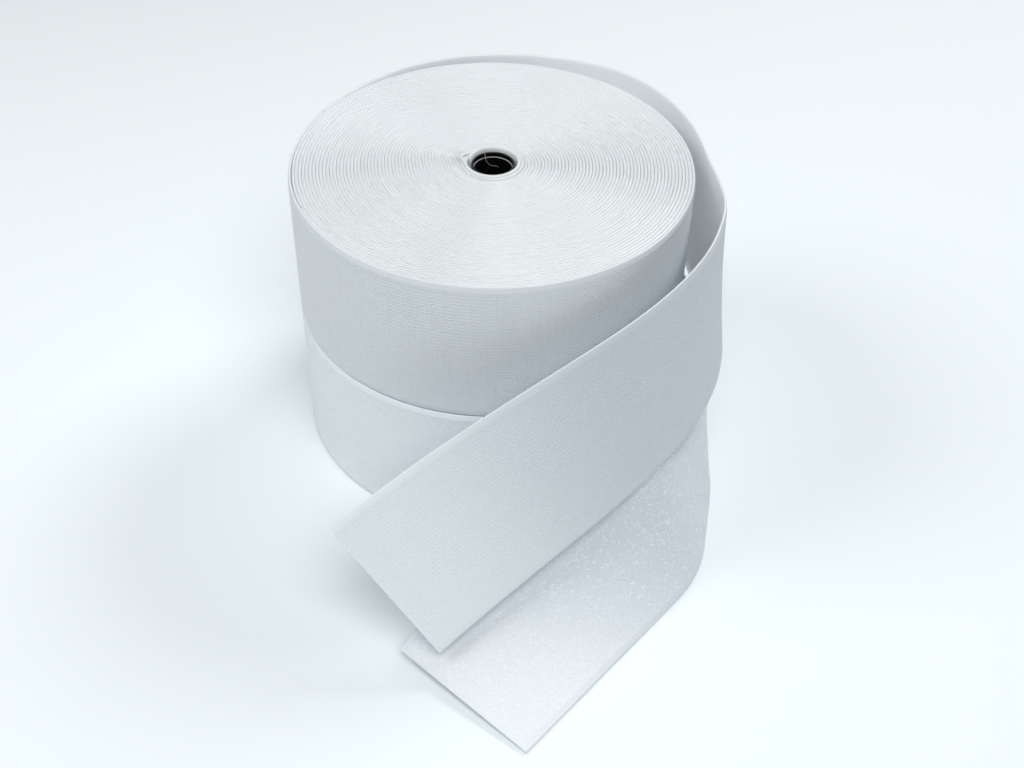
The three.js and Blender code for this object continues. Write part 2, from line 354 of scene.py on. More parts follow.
def smooth_curve(stations, first_slope, last_slope):
    """A smooth curve through stations of falling x, with its slope at both ends."""
    xs, ys = np.array(stations, float).T
    slopes = np.empty_like(xs)
    slopes[0] = first_slope
    slopes[-1] = last_slope
    slopes[1:-1] = (ys[2:] - ys[:-2]) / (xs[2:] - xs[:-2])

    def curve(x):
        i = np.clip(np.searchsorted(-xs, -x, side="right") - 1, 0, len(xs) - 2)
        span = xs[i + 1] - xs[i]
        return eased((x - xs[i]) / span, ys[i], ys[i + 1], span * slopes[i], span * slopes[i + 1])

    return curve


def soft_noise(seed, place, spacing):
    """Smooth noise from 0 to 1 along a tape."""
    table = np.random.default_rng(seed).random(NOISE_VALUES)
    steps = place / spacing
    low = np.floor(steps).astype(int)
    t = smoothstep(steps - low)
    return table[low % NOISE_VALUES] * (1 - t) + table[(low + 1) % NOISE_VALUES] * t


class Sections:
    """Cross-sections of a tape: guide points, directions along and across it, twist and distance."""

    PARTS = ("guide", "along", "across", "twist", "distance")

    def __init__(self, guide, along, across, twist, distance, to_middle):
        self.guide = guide
        self.along = along
        self.across = across
        self.twist = twist
        self.distance = distance
        self.to_middle = to_middle

    def joined(self, other):
        """These sections followed by others of the same tape."""
        arrays = [np.concatenate((getattr(self, part), getattr(other, part))) for part in self.PARTS]
        return Sections(*arrays, self.to_middle)

    def picked(self, rows):
        """Some of these sections, by their numbers."""
        return Sections(*(getattr(self, part)[rows] for part in self.PARTS), self.to_middle)

    def normals(self, reach):
        """The tape's outward side at distances from its middle line, for every section."""
        spread = (self.to_middle + reach)[..., None]
        along = self.along[:, None] + self.twist[:, None] * spread
        return unit(np.cross(np.broadcast_to(self.across[:, None], along.shape), along))

    def points(self, reach, proud):
        """Points at distances from the tape's middle line and heights above its middle surface."""
        spread = (self.to_middle + reach)[..., None]
        return self.guide[:, None] + self.across[:, None] * spread + self.normals(reach) * proud[..., None]


class Route:
    """Where one tape runs: its spiral, its loosened last turn and its free tail."""

    def __init__(self, sizes, run, base, gap_shares, to_middle, collar):
        self.sizes = sizes
        self.run = run
        self.base = base
        self.to_middle = to_middle
        self.collar = collar
        self.lift = math.degrees(sizes.lift_azimuth)
        self.hinge = math.degrees(run.hinge_azimuth)
        self.lift_radius = sizes.roll_radius - sizes.thickness / 2
        hinge_radius = self.spiral(self.hinge) + run.hinge_gap
        self.hinge_point = AXIS + polar(hinge_radius, self.hinge)
        self.start_heading = self.hinge - 90 + math.degrees(run.flare)
        slope = sizes.pitch / 360 - math.radians(1) * hinge_radius * math.tan(run.flare)
        gaps = [(azimuth, share * run.bulge) for azimuth, share in gap_shares]
        self.gap = smooth_curve([(self.lift, 0.0), *gaps, (self.hinge, run.hinge_gap)], 0.0, slope)
        self.start = self.start_azimuth()
        self.azimuths = np.linspace(self.start, self.hinge, ROUTE_POINTS)
        steps = np.linalg.norm(np.diff(self.centre(self.azimuths), axis=0), axis=1)
        self.distances = np.concatenate(([0.0], np.cumsum(steps))) - steps.sum()

    def spiral(self, azimuth):
        """Radius of the tape's middle in the tight winding."""
        return self.lift_radius + self.sizes.pitch * (self.lift - azimuth) / 360

    def start_azimuth(self):
        """The unwound azimuth of the tape's start, the first at its place that clears the core."""
        least = self.sizes.winding_start + self.sizes.thickness / 2
        turns = math.floor((self.lift_radius - least) / self.sizes.pitch)
        azimuth = math.degrees(self.sizes.start_azimuth) + 360 * turns
        while self.spiral(azimuth) < least:
            azimuth -= 360
        return azimuth

    def start_push(self, azimuth):
        """How far the folded start pushes out the turns that pass over it."""
        turns = np.floor((self.start - azimuth) / 360 + 0.5)
        off = (self.start - azimuth) - 360 * turns
        height = self.sizes.start_fold - self.sizes.start_fade * (turns - 1)
        window = np.cos(np.clip(off / math.degrees(self.sizes.start_spread), -1, 1) * math.pi / 2) ** 2
        return np.where(turns >= 1, np.maximum(height, 0.0), 0.0) * window

    def centre(self, azimuth):
        """Points of the tape's middle line seen from above, at unwound azimuths."""
        loosened = np.where(azimuth < self.lift, self.gap(np.minimum(azimuth, self.lift)), 0.0)
        radius = self.spiral(azimuth) + loosened + self.start_push(azimuth)
        return AXIS + polar(radius, azimuth)

    def distance(self, azimuth):
        """Distance along the tape, negative before the bending line."""
        return np.interp(-azimuth, -self.azimuths, self.distances)

    def azimuth_at(self, distance):
        """The azimuth at a distance before the bending line."""
        return np.interp(distance, self.distances, self.azimuths)

    def join_azimuth(self):
        """The azimuth where the tail's piece begins."""
        return float(self.azimuth_at(-self.run.join))

    def wound(self, azimuth):
        """Sections of the wound or loosened tape at unwound azimuths."""
        level = self.base + self.sizes.width / 2 - self.to_middle
        turns = (self.start - azimuth) / 360
        stand = self.collar * (1 - smoothstep((turns - COLLAR_FULL) / COLLAR_FADE))
        guide = self.centre(azimuth) + UP * (level + stand)[:, None]
        along = unit(self.centre(azimuth - DIRECTION_STEP) - self.centre(azimuth + DIRECTION_STEP))
        across = np.broadcast_to(UP, guide.shape)
        return Sections(guide, along, across, 0.0 * guide, self.distance(azimuth), self.to_middle)

    def bending_line(self):
        """The middle of the tail's bending line and the tape's direction there."""
        middle = self.hinge_point + UP * (self.base + self.sizes.width / 2)
        return middle, polar(1.0, self.start_heading)

    def tail(self, shape, step):
        """Sections of the tail's piece, from the run before the bending line to the cut end."""
        before = np.linspace(-self.run.join, 0.0, round(self.run.join / step), endpoint=False)
        s = np.linspace(0.0, self.run.tail_length, round(self.run.tail_length / step) + 1)
        middle = (s[1:] + s[:-1]) / 2
        run = np.diff(s) * np.sqrt(1 - shape["slope"](middle) ** 2)
        moves = polar(run, shape["heading"](middle))
        guide = np.concatenate((np.zeros((1, 3)), np.cumsum(moves, axis=0)))
        guide += self.hinge_point
        guide[:, 2] = self.base + shape["height"](s)

        def along_at(s):
            slope = shape["slope"](s)
            return polar(np.sqrt(1 - slope**2), shape["heading"](s)) + UP * slope[:, None]

        def across_at(s):
            inward = polar(np.ones_like(s), shape["heading"](s) - 90)
            rise = np.cross(inward, along_at(s))
            bank = shape["bank"](s)[:, None]
            return np.cos(bank) * rise + np.sin(bank) * inward

        twist = (across_at(s + step) - across_at(s - step)) / (2 * step)
        free = Sections(guide, along_at(s), across_at(s), twist, s, self.to_middle)
        return self.wound(self.azimuth_at(before)).joined(free)


def hook_route(scene):
    """The hook tape's route."""
    return Route(scene.tape_sizes, scene.hook_sizes, HOOK_BASE, HOOK_GAP_SHARES, 0.0, scene.hook_sizes.collar)


def loop_route(scene):
    """The loop tape's route, guided by its lower edge, which stays on the floor."""
    half = scene.tape_sizes.width / 2
    return Route(scene.tape_sizes, scene.loop_sizes, LOOP_BASE, LOOP_GAP_SHARES, half, 0.0)


def hook_tail_shape(scene, route):
    """The hook tail comes round to the front, droops and banks."""
    sizes = scene.tape_sizes
    run = scene.hook_sizes
    start_height = sizes.width / 2
    drop = start_height + route.base - run.end_height
    droop = drop
    for _ in range(SETTLING_ROUNDS):
        slope = droop * run.droop_ease / run.tail_length
        droop = drop - math.cos(run.bank) * math.sqrt(1 - slope * slope) * sizes.width / 2

    def share(s):
        return np.maximum(s / run.tail_length, 0.0)

    def heading(s):
        left = 1 - np.clip((s - run.lead) / run.turn_length, 0.0, 1.0)
        return route.start_heading - math.degrees(run.turn) * (1 - left**run.turn_ease)

    return {
        "heading": heading,
        "height": lambda s: start_height - droop * share(s) ** run.droop_ease,
        "slope": lambda s: -droop * run.droop_ease * share(s) ** (run.droop_ease - 1) / run.tail_length,
        "bank": lambda s: run.bank * share(s) * smoothstep(s / run.bank_ease),
    }


def loop_tail_shape(scene, route):
    """The loop tail keeps its lower edge on the floor and leans over until its end lies nearly flat."""
    sizes = scene.tape_sizes
    run = scene.loop_sizes

    def lean(s):
        return run.end_lean * np.clip(s / run.tail_length, 0.0, 1.0) ** run.lean_ease

    def heading(s):
        turned = run.turn * np.clip((s - run.lead) / run.turn_length, 0.0, 1.0)
        corner = run.corner_turn * np.clip((s - run.corner_start) / run.corner_length, 0.0, 1.0)
        return route.start_heading - np.degrees(turned + corner)

    return {
        "heading": heading,
        "height": lambda s: np.sin(lean(s)) * sizes.thickness / 2,
        "slope": lambda s: 0.0 * s,
        "bank": lean,
    }


# Meshes

def tape_profile(sizes, field, back_columns, edge=SELVEDGE):
    """A tape's outline: reach across, height, and the finish of each face round the outline.

    field lists the reach and height of points between the two edges on the tape's face. Where there are
    any, the edges have the face's finish as well, down to the middle of the tape.
    """
    half = sizes.width / 2
    upper = [(half - inset, proud) for proud, inset in edge]
    lower = [(-reach, proud) for reach, proud in reversed(upper)]
    back_reach = np.linspace(upper[-1][0], lower[0][0], back_columns + 1)[1:-1]
    back = [(reach, upper[-1][1]) for reach in back_reach]
    outline = np.array([*lower, *field, *upper, *back])
    finish = np.full(len(outline), CLOTH)
    rounded = EDGE_POINTS if field else 0
    finish[len(lower) - 1 - rounded : len(lower) + len(field) + rounded] = FIELD
    return outline[:, 0], outline[:, 1], finish


def strips(points, finish, uv=None):
    """Closed strips from points of the shape strips, sections, outline and 3, with caps at both ends.

    finish is one for all faces, or one for each face round the outline.
    """
    number, rows, ring = points.shape[:3]
    first = np.arange(number)[:, None, None] * rows * ring
    i = np.arange(rows - 1)[None, :, None] * ring
    k = np.arange(ring)[None, None, :]
    a = first + i + k
    b = first + i + (k + 1) % ring
    quads = np.stack((a, b, b + ring, a + ring), axis=-1).reshape(-1, 4)
    begins = (first[:, 0] + np.arange(ring)[::-1]).reshape(-1, ring)
    ends = (first[:, 0] + (rows - 1) * ring + np.arange(ring)).reshape(-1, ring)
    if uv is None:
        uv = np.zeros((number, rows, ring, 2))
    return {
        "points": points.reshape(-1, 3),
        "uv": uv.reshape(-1, 2),
        "quads": quads,
        "caps": np.concatenate((begins, ends)),
        "finish": np.broadcast_to(finish, (number, rows - 1, ring)).reshape(-1),
    }


def in_scene(name, data, materials=()):
    """A new object in the scene, with the materials of its mesh."""
    for material in materials:
        data.materials.append(material)
    piece = bpy.data.objects.new(name, data)
    bpy.context.scene.collection.objects.link(piece)
    return piece


def piece_from(name, parts, materials, cap_finish=CLOTH):
    """One mesh object from strips, smooth along its sides and flat at its caps."""
    points, uvs, corners, sizes, finishes, smooth = [], [], [], [], [], []
    offset = 0
    for part in parts:
        points.append(part["points"])
        uvs.append(part["uv"])
        for faces, finish, rounded in (
            (part["quads"], part["finish"], part.get("rounded", True)),
            (part["caps"], np.full(len(part["caps"]), cap_finish), False),
        ):
            corners.append((faces + offset).reshape(-1))
            sizes.append(np.full(len(faces), faces.shape[1]))
            finishes.append(finish)
            smooth.append(np.full(len(faces), rounded))
        offset += len(part["points"])
    points = np.concatenate(points)
    corners = np.concatenate(corners).astype(np.int32)
    sizes = np.concatenate(sizes)
    mesh = bpy.data.meshes.new(name)
    mesh.vertices.add(len(points))
    mesh.vertices.foreach_set("co", points.astype(np.float32).ravel())
    mesh.loops.add(len(corners))
    mesh.loops.foreach_set("vertex_index", corners)
    mesh.polygons.add(len(sizes))
    starts = np.concatenate(([0], np.cumsum(sizes)[:-1])).astype(np.int32)
    mesh.polygons.foreach_set("loop_start", starts)
    mesh.polygons.foreach_set("material_index", np.concatenate(finishes).astype(np.int32))
    mesh.polygons.foreach_set("use_smooth", np.concatenate(smooth))
    layer = mesh.uv_layers.new(name=TAPE_UV)
    layer.uv.foreach_set("vector", np.concatenate(uvs)[corners].astype(np.float32).ravel())
    mesh.update(calc_edges=True)
    if mesh.validate():
        raise RuntimeError(f"{name}: the mesh had faults")
    return in_scene(name, mesh, materials)


def held_ends(rows):
    """Rows with one more close to each end, so that the sides' shading runs straight up to the caps."""
    begin = rows[:1] + END_ROW * (rows[1:2] - rows[:1])
    end = rows[-1:] + END_ROW * (rows[-2:-1] - rows[-1:])
    return np.concatenate((rows[:1], begin, rows[1:-1], end, rows[-1:]))


def tape_strip(sizes, sections, profile, seed, roughness=0.0):
    """One run of tape with its edges tucked unevenly and, for a pile, a rough field."""
    reach, proud, finish = profile
    tuck = 0.0
    for i, (share, spacing) in enumerate(TUCK_NOISES):
        tuck = tuck + share * soft_noise(seed + i, sections.distance, spacing)
    edge = np.clip((np.abs(reach) - sizes.width / 2 + TUCK_BAND) / TUCK_BAND, 0.0, 1.0) * np.sign(reach)
    spread = reach[None, :] - edge[None, :] * (sizes.edge_tuck * tuck)[:, None]
    height = np.broadcast_to(proud, spread.shape).copy()
    if roughness:
        inside = (proud > SELVEDGE[1][0] - roughness) & (np.abs(reach) < sizes.width / 2 - SELVEDGE[0][1])
        pile = np.random.default_rng(seed + len(TUCK_NOISES))
        height[:, inside] -= roughness * pile.random((len(height), inside.sum()))
    points = sections.points(spread, height)
    uv = np.stack(np.broadcast_arrays(sections.distance[:, None], spread), axis=-1)
    return strips(held_ends(points)[None], finish, held_ends(uv)[None])


def ribbed_profile(sizes, run):
    """The hook tape's outline, with a rib for every row of hooks."""
    top = SELVEDGE[0][0]
    border = sizes.width / 2 - SELVEDGE[0][1]
    ribs = round(2 * border / run.rib_pitch)
    places = np.linspace(-border, border, RIB_POINTS * ribs + 1)[1:-1]
    field = []
    for i, place in enumerate(places, start=1):
        rise = (1 - math.cos(2 * math.pi * i / RIB_POINTS)) / 2
        field.append((place, top - run.rib_height * (1 - rise)))
    return tape_profile(sizes, field, BACK_COLUMNS)


def pile_profile(sizes, run):
    """The loop tape's outline, with points close together for the pile."""
    border = sizes.width / 2 - SELVEDGE[0][1]
    columns = round(2 * border / run.pile_column)
    places = np.linspace(-border, border, columns + 1)[1:-1]
    return tape_profile(sizes, [(place, SELVEDGE[0][0]) for place in places], BACK_COLUMNS)


def last_turn_azimuths(route, step):
    """Azimuths of the tape that shows its face on the roll's side, to where the tail's piece begins."""
    first = route.lift + LAST_TURN_SPAN
    last = route.join_azimuth()
    return np.linspace(first, last, round((first - last) / step) + 1)


def fibre_arcs(sections, width, number, seed):
    """Loose curled fibres lying on the pile."""
    rng = np.random.default_rng(seed)
    rows = rng.integers(1, len(sections.guide) - 2, number)
    reach = rng.uniform(-FIBRE_REACH, FIBRE_REACH, number)[:, None]
    chosen = sections.picked(rows)
    root = chosen.points(reach, np.full((number, 1), SELVEDGE[0][0] - FIBRE_ROOT))[:, 0]
    out = chosen.normals(reach)[:, 0]
    spin = rng.uniform(0, 2 * math.pi, number)[:, None]
    side = unit(np.cross(out, chosen.across))
    lie = np.cos(spin) * side + np.sin(spin) * chosen.across
    bow = np.cross(out, lie)
    span, lift, curl = (rng.uniform(*limits, number)[:, None, None] for limits in FIBRE_LIMITS)
    t = np.linspace(0, 1, FIBRE_POINTS)[None, :, None]
    arch = np.sin(math.pi * t)
    path = root[:, None] + lie[:, None] * span * (t - 0.5) + out[:, None] * lift * arch
    path = path + bow[:, None] * curl * arch
    side = -bow[:, None, None] * FIBRE_OUTLINE[None, None, :, :1] * width / 2
    rise = out[:, None, None] * FIBRE_OUTLINE[None, None, :, 1:] * width / (2 * FIBRE_FLATNESS)
    points = path[:, :, None] + side + rise
    fibres = strips(points, FIELD)
    fibres["rounded"] = False
    return fibres


def start_fold_strip(route):
    """The folded start of a tape, which fills the pocket under the turns that pass over it."""
    sizes = route.sizes
    side = np.linspace(-FOLD_SHARE, FOLD_SHARE, FOLD_POINTS) * math.degrees(sizes.start_spread)
    over = route.start - 360 + side
    outer = route.spiral(over) + route.start_push(over) - sizes.thickness / 2
    inner = route.spiral(route.start) + SELVEDGE[0][0]
    outline = np.concatenate((polar(outer, over), polar(inner, over)[::-1]))
    levels = route.base + np.array([sizes.start_depth, sizes.width - sizes.start_depth])
    points = AXIS + outline[None] + UP * levels[:, None, None]
    return strips(points[None], CLOTH)


def thread_strip(route):
    """A stray thread from the hook tape's first turn into the bore."""
    rim = route.base + route.sizes.width + route.collar
    path = AXIS + UP * rim + np.array(THREAD)
    t = np.linspace(0, len(path) - 1, THREAD_ROWS)
    low = np.minimum(np.floor(t).astype(int), len(path) - 2)
    slopes = np.gradient(path, axis=0)
    line = eased((t - low)[:, None], path[low], path[low + 1], slopes[low], slopes[low + 1])
    along = unit(np.gradient(line, axis=0))
    side = unit(np.cross(along, UP))
    over = np.cross(side, along)
    turns = np.arange(THREAD_SIDES)[None, :, None] * 2 * math.pi / THREAD_SIDES
    ring = side[:, None] * np.cos(turns) - over[:, None] * np.sin(turns)
    points = line[:, None] + ring * THREAD_RADIUS
    return strips(points[None], CLOTH)


def core_mesh(name, core, width, base, materials):
    """A core tube turned from its outline, with rounded rims and a ledge in each end of the bore."""
    outside = core.bore_radius + core.wall
    narrow = core.bore_radius - core.ledge_width
    low = core.recess
    high = width - core.recess
    r = core.rim_round
    cut = RIM_CUT * r
    ledge = high - core.ledge_depth
    half = [
        (outside, high - 2 * r, RIM),
        (outside - cut, high - 2 * cut, RIM),
        (outside - r, high, RIM),
        (core.bore_radius + r, high, RIM),
        (core.bore_radius + cut, high - cut, RIM),
        (core.bore_radius, high - r, BORE),
        (core.bore_radius, ledge, RIM),
        # The ledge's rounded lip, with a painted highlight
        (narrow + r, ledge, LIP_HIGHLIGHT),
        (narrow + cut, ledge - cut, LIP_HIGHLIGHT),
        (narrow, ledge - r, BORE),
    ]
    radius, level, part = np.array(half).T
    part = np.concatenate((part, part[-2::-1], part[:1])).astype(np.int32)
    radius = np.concatenate((radius, radius[::-1]))
    level = np.concatenate((level, low + high - level[::-1]))
    azimuth = np.arange(core.sides) * 360 / core.sides
    points = AXIS + polar(radius[None, :], azimuth[:, None])
    points[..., 2] = base + level[None, :]
    rows, ring = points.shape[:2]
    a = np.arange(rows)[:, None] * ring + np.arange(ring)
    b = np.roll(a, -1, axis=1)
    quads = np.stack((a, np.roll(a, -1, axis=0), np.roll(b, -1, axis=0), b), axis=-1).reshape(-1, 4)
    mesh = bpy.data.meshes.new(name)
    mesh.from_pydata(points.reshape(-1, 3).tolist(), [], quads.tolist())
    mesh.polygons.foreach_set("use_smooth", np.full(len(quads), True))
    mesh.polygons.foreach_set("material_index", np.tile(part, rows))
    mesh.update()
    mesh.set_sharp_from_angle(angle=math.radians(SHARP_DEGREES))
    return in_scene(name, mesh, materials)


# Materials

def feed(tree, socket, value):
    """Link a socket to another, or set its plain value."""
    if isinstance(value, bpy.types.NodeSocket):
        tree.links.new(value, socket)
    else:
        socket.default_value = value


def fill_in(tree, sockets, values):
    """Feed several sockets by name."""
    for name, value in values.items():
        feed(tree, sockets[name], value)


def calc(tree, operation, *values):
    """The result of a Math node."""
    node = tree.nodes.new("ShaderNodeMath")
    node.operation = operation
    for socket, value in zip(node.inputs, values):
        feed(tree, socket, value)
    return node.outputs[0]


def remap(tree, value, low, high, to_low=0.0, to_high=1.0):
    """A smooth map of a value from one range to another."""
    node = tree.nodes.new("ShaderNodeMapRange")
    node.interpolation_type = "SMOOTHSTEP"
    fill_in(tree, node.inputs, {"Value": value, "From Min": low, "From Max": high})
    fill_in(tree, node.inputs, {"To Min": to_low, "To Max": to_high})
    return node.outputs["Result"]


def mixed(tree, factor, first, second):
    """A mix of two colours."""
    node = tree.nodes.new("ShaderNodeMix")
    node.data_type = "RGBA"
    for i, value in zip(MIX_INPUTS, (factor, first, second)):
        feed(tree, node.inputs[i], value)
    return node.outputs[MIX_RESULT]


def noise(tree, vector, **values):
    """The value of a Noise Texture at a place."""
    node = tree.nodes.new("ShaderNodeTexNoise")
    tree.links.new(vector, node.inputs["Vector"])
    fill_in(tree, node.inputs, {name.capitalize(): value for name, value in values.items()})
    return node.outputs[0]


def bump(tree, height, distance):
    """The normal of a surface with a height between 0 and 1."""
    node = tree.nodes.new("ShaderNodeBump")
    fill_in(tree, node.inputs, {"Strength": 1.0, "Distance": distance, "Height": height})
    return node.outputs["Normal"]


def tape_vector(tree):
    """The place on the tape, in metres along it and across it."""
    node = tree.nodes.new("ShaderNodeUVMap")
    node.uv_map = TAPE_UV
    return node.outputs["UV"]


def tape_place(tree):
    """Distance along the tape and across it, in metres."""
    split = tree.nodes.new("ShaderNodeSeparateXYZ")
    tree.links.new(tape_vector(tree), split.inputs[0])
    return split.outputs[0], split.outputs[1]


def stretched_place(tree, along, across):
    """The place on the tape with each direction multiplied by a factor."""
    join = tree.nodes.new("ShaderNodeCombineXYZ")
    for socket, place, factor in zip(join.inputs, tape_place(tree), (along, across)):
        feed(tree, socket, calc(tree, "MULTIPLY", place, factor))
    return join.outputs[0]


def shared_group(name, inputs, output, fill):
    """A shader node group with named inputs and one output, built the first time that it is asked for."""
    tree = bpy.data.node_groups.get(name)
    if tree:
        return tree
    tree = bpy.data.node_groups.new(name, "ShaderNodeTree")
    for label, default in inputs.items():
        socket = tree.interface.new_socket(label, in_out="INPUT", socket_type="NodeSocketFloat")
        socket.default_value = default
    tree.interface.new_socket(output, in_out="OUTPUT", socket_type="NodeSocketFloat")
    given = tree.nodes.new("NodeGroupInput")
    out = tree.nodes.new("NodeGroupOutput")
    tree.links.new(fill(tree, given.outputs), out.inputs[output])
    return tree


def placed(tree, group, **values):
    """The output of a node group placed in a material with its own values."""
    node = tree.nodes.new("ShaderNodeGroup")
    node.node_tree = group
    fill_in(tree, node.inputs, {name.capitalize(): value for name, value in values.items()})
    return node.outputs[0]


def shared_material(name, fill):
    """A material whose shader takes the values that fill gives, made the first time that it is asked for."""
    material = bpy.data.materials.get(name)
    if material:
        return material
    material = bpy.data.materials.new(name)
    material.use_nodes = True
    tree = material.node_tree
    fill_in(tree, tree.nodes["Principled BSDF"].inputs, fill(tree))
    return material


def staggered_group():
    """Staggered rows of small bumps, as hooks or as the floats of a weave."""

    def fill(tree, given):
        u, v = tape_place(tree)
        turns = [calc(tree, "DIVIDE", u, given["Along"]), calc(tree, "DIVIDE", v, given["Across"])]
        waves = []
        for operation in ("ADD", "SUBTRACT"):
            phase = calc(tree, "MULTIPLY", calc(tree, operation, *turns), 2 * math.pi)
            waves.append(calc(tree, "MULTIPLY_ADD", calc(tree, "SINE", phase), 0.5, 0.5))
        return calc(tree, "MULTIPLY", *waves)

    return shared_group("Staggered rows", {"Along": 0.0015, "Across": 0.0015}, "Height", fill)


def selvedge_group():
    """Where a tape's plain woven edge lies, 1 on the edge and 0 on the field."""

    def fill(tree, given):
        v = tape_place(tree)[1]
        inset = calc(tree, "SUBTRACT", given["Half width"], calc(tree, "ABSOLUTE", v))
        return remap(tree, calc(tree, "DIVIDE", inset, given["Band"]), 0.3, 1.1, to_low=1.0, to_high=0.0)

    return shared_group("Selvedge", {"Half width": 0.05, "Band": 0.0045}, "Mask", fill)


def drift_group():
    """A slow change of tone over the goods, with fine streaks along the tape."""

    def fill(tree, given):
        place = tree.nodes.new("ShaderNodeTexCoord").outputs["Object"]
        slow = noise(tree, place, scale=given["Scale"], detail=3.0)
        fine = noise(tree, stretched_place(tree, along=30.0, across=given["Streaks"]), scale=1.0)
        return calc(tree, "ADD", calc(tree, "MULTIPLY", slow, 0.6), calc(tree, "MULTIPLY", fine, 0.4))

    return shared_group("Tone drift", {"Scale": 12.0, "Streaks": 900.0}, "Tone", fill)


def shade(colour, factor):
    """A colour made darker or lighter, with its opacity."""
    return (*(channel * factor for channel in colour), 1.0)


def rest_of(tree, mask):
    """1 where a mask is 0, and 0 where it is 1."""
    return calc(tree, "SUBTRACT", 1.0, mask)


def toned(tree, colour, factor, mask):
    """A colour made darker by a factor where a mask is 1."""
    toned_colour = mixed(tree, mask, colour, (factor, factor, factor, 1.0))
    toned_colour.node.blend_type = "MULTIPLY"
    return toned_colour


def cross_streaks(tree):
    """Faint uneven lines across the tape, painted shade where the rows of hooks lean differently."""
    lines = noise(tree, stretched_place(tree, along=620.0, across=24.0), scale=1.0, detail=2.0)
    wound = remap(tree, tape_place(tree)[0], *STREAKS_END, to_low=1.0, to_high=0.0)
    return calc(tree, "MULTIPLY", remap(tree, lines, 0.5, 0.72, to_high=0.7), wound)


def along_tape(tree, colours, light_run, slant=0.0):
    """A colour with painted shade where the tape leaves the roll, and painted light over a run towards its
    cut end.

    A single turn of such tape lets light through and looks darker than the roll. The faces here let none
    through, and the darker colour is painted shade that stands for that. Towards its cut end the tape lies
    flatter and faces up to the lamps, and the lighter colour there is painted light. With a slant, the
    painted light comes earlier towards the tape's lower edge.
    """
    roll, leaving_shade, end = (shade(colour, 1.0) for colour in colours)
    u, v = tape_place(tree)
    colour = mixed(tree, remap(tree, u, *LEAVING_SHADE_RUN), roll, leaving_shade)
    lain = calc(tree, "SUBTRACT", u, calc(tree, "MULTIPLY", v, slant))
    return mixed(tree, remap(tree, lain, *light_run), colour, end)


def hook_field_material(finish):
    """The hook tape's face: staggered rows of fine clear hooks on cloth, with painted shade between the rows.
    """

    def fill(tree):
        rows = placed(tree, staggered_group(), along=0.0018, across=0.0024)
        rows = calc(tree, "MULTIPLY", rows, rest_of(tree, placed(tree, selvedge_group())))
        tone = placed(tree, drift_group(), scale=14.0, streaks=1000.0)
        # Painted shade where the tape leaves the roll, painted light towards its cut end
        colour = along_tape(tree, (finish.hook_field, finish.hook_tail, finish.hook_end_painted_light), HOOK_END_LIGHT_RUN)
        # Painted shade: darker where the rows of hooks lie low, between the rows and on the edges, which have
        # none
        colour = toned(tree, colour, 0.955, rest_of(tree, remap(tree, rows, 0.0, 0.8)))
        colour = toned(tree, colour, 0.95, remap(tree, tone, *TONE_RANGE, to_high=0.35))
        # Painted shade: faint lines across the wound tape where the rows of hooks lean differently
        colour = toned(tree, colour, 0.955, cross_streaks(tree))
        return {
            "Base Color": colour,
            "Roughness": 0.55,
            "Specular IOR Level": 0.35,
            "Normal": bump(tree, rows, 0.0002),
        }

    return shared_material("hook_field", fill)


def loop_field_material(finish):
    """The loop tape's face: a brushed pile of curled loops, with painted shade where the pile lies low, which
    leaves its raised curls as pale flecks.
    """

    def fill(tree):
        curls = noise(tree, tape_vector(tree), scale=780.0, detail=3.0, distortion=1.6)
        raised = calc(tree, "MULTIPLY", curls, rest_of(tree, placed(tree, selvedge_group())))
        tone = placed(tree, drift_group(), scale=10.0, streaks=500.0)
        # Painted shade where the tape leaves the roll, painted light towards its cut end
        colours = (finish.loop_field, finish.loop_tail, finish.loop_end_painted_light)
        colour = along_tape(tree, colours, LOOP_END_LIGHT_RUN, LOOP_LIGHT_SLANT)
        # Painted shade: darker where the pile's curls lie low
        colour = toned(tree, colour, 0.94, rest_of(tree, remap(tree, raised, 0.42, 0.68)))
        colour = toned(tree, colour, 0.96, remap(tree, tone, *TONE_RANGE, to_high=0.3))
        return {
            "Base Color": colour,
            "Roughness": 0.85,
            "Sheen Weight": 0.25,
            "Sheen Roughness": 0.6,
            "Normal": bump(tree, raised, 0.0003),
        }

    return shared_material("loop_field", fill)


def cloth_material(name, colour, along, across, depth):
    """A tape's woven back and selvedge. With a depth, light passes through it."""

    def fill(tree):
        weave = placed(tree, staggered_group(), along=along, across=across)
        tone = placed(tree, drift_group(), scale=18.0, streaks=1400.0)
        # Painted shade and light: the weave is a little darker where its floats lie low and a little lighter
        # where they stand high
        base = mixed(tree, weave, shade(colour, 0.985), shade(colour, 1.01))
        values = {
            "Base Color": mixed(tree, remap(tree, tone, *TONE_RANGE, to_high=0.3), base, shade(colour, 0.95)),
            "Roughness": 0.36,
            "Specular IOR Level": 0.9,
            "Normal": bump(tree, weave, 0.00004),
        }
        if depth:
            values["Subsurface Weight"] = 1.0
            values["Subsurface Radius"] = (1.0, 1.0, 1.0)
            values["Subsurface Scale"] = depth
        return values

    return shared_material(name, fill)


def fibre_material(finish):
    """The loose fibres on the pile, paler than the pile and a little uneven."""

    def fill(tree):
        tone = placed(tree, drift_group(), scale=300.0)
        colour = mixed(tree, tone, shade(finish.loop_fibre, 0.94), shade(finish.loop_fibre, 1.0))
        return {"Base Color": colour, "Roughness": 0.5}

    return shared_material("loop_fibre", fill)


def core_material(name, colour, specular):
    """Satin plastic with a fine moulded grain."""

    def fill(tree):
        tone = placed(tree, drift_group(), scale=220.0)
        return {
            "Base Color": mixed(tree, tone, shade(colour, 0.7), shade(colour, 1.3)),
            "Roughness": remap(tree, tone, 0.3, 0.7, to_low=0.35, to_high=0.5),
            "Specular IOR Level": specular,
            "Normal": bump(tree, tone, 0.00005),
        }

    return shared_material(name, fill)


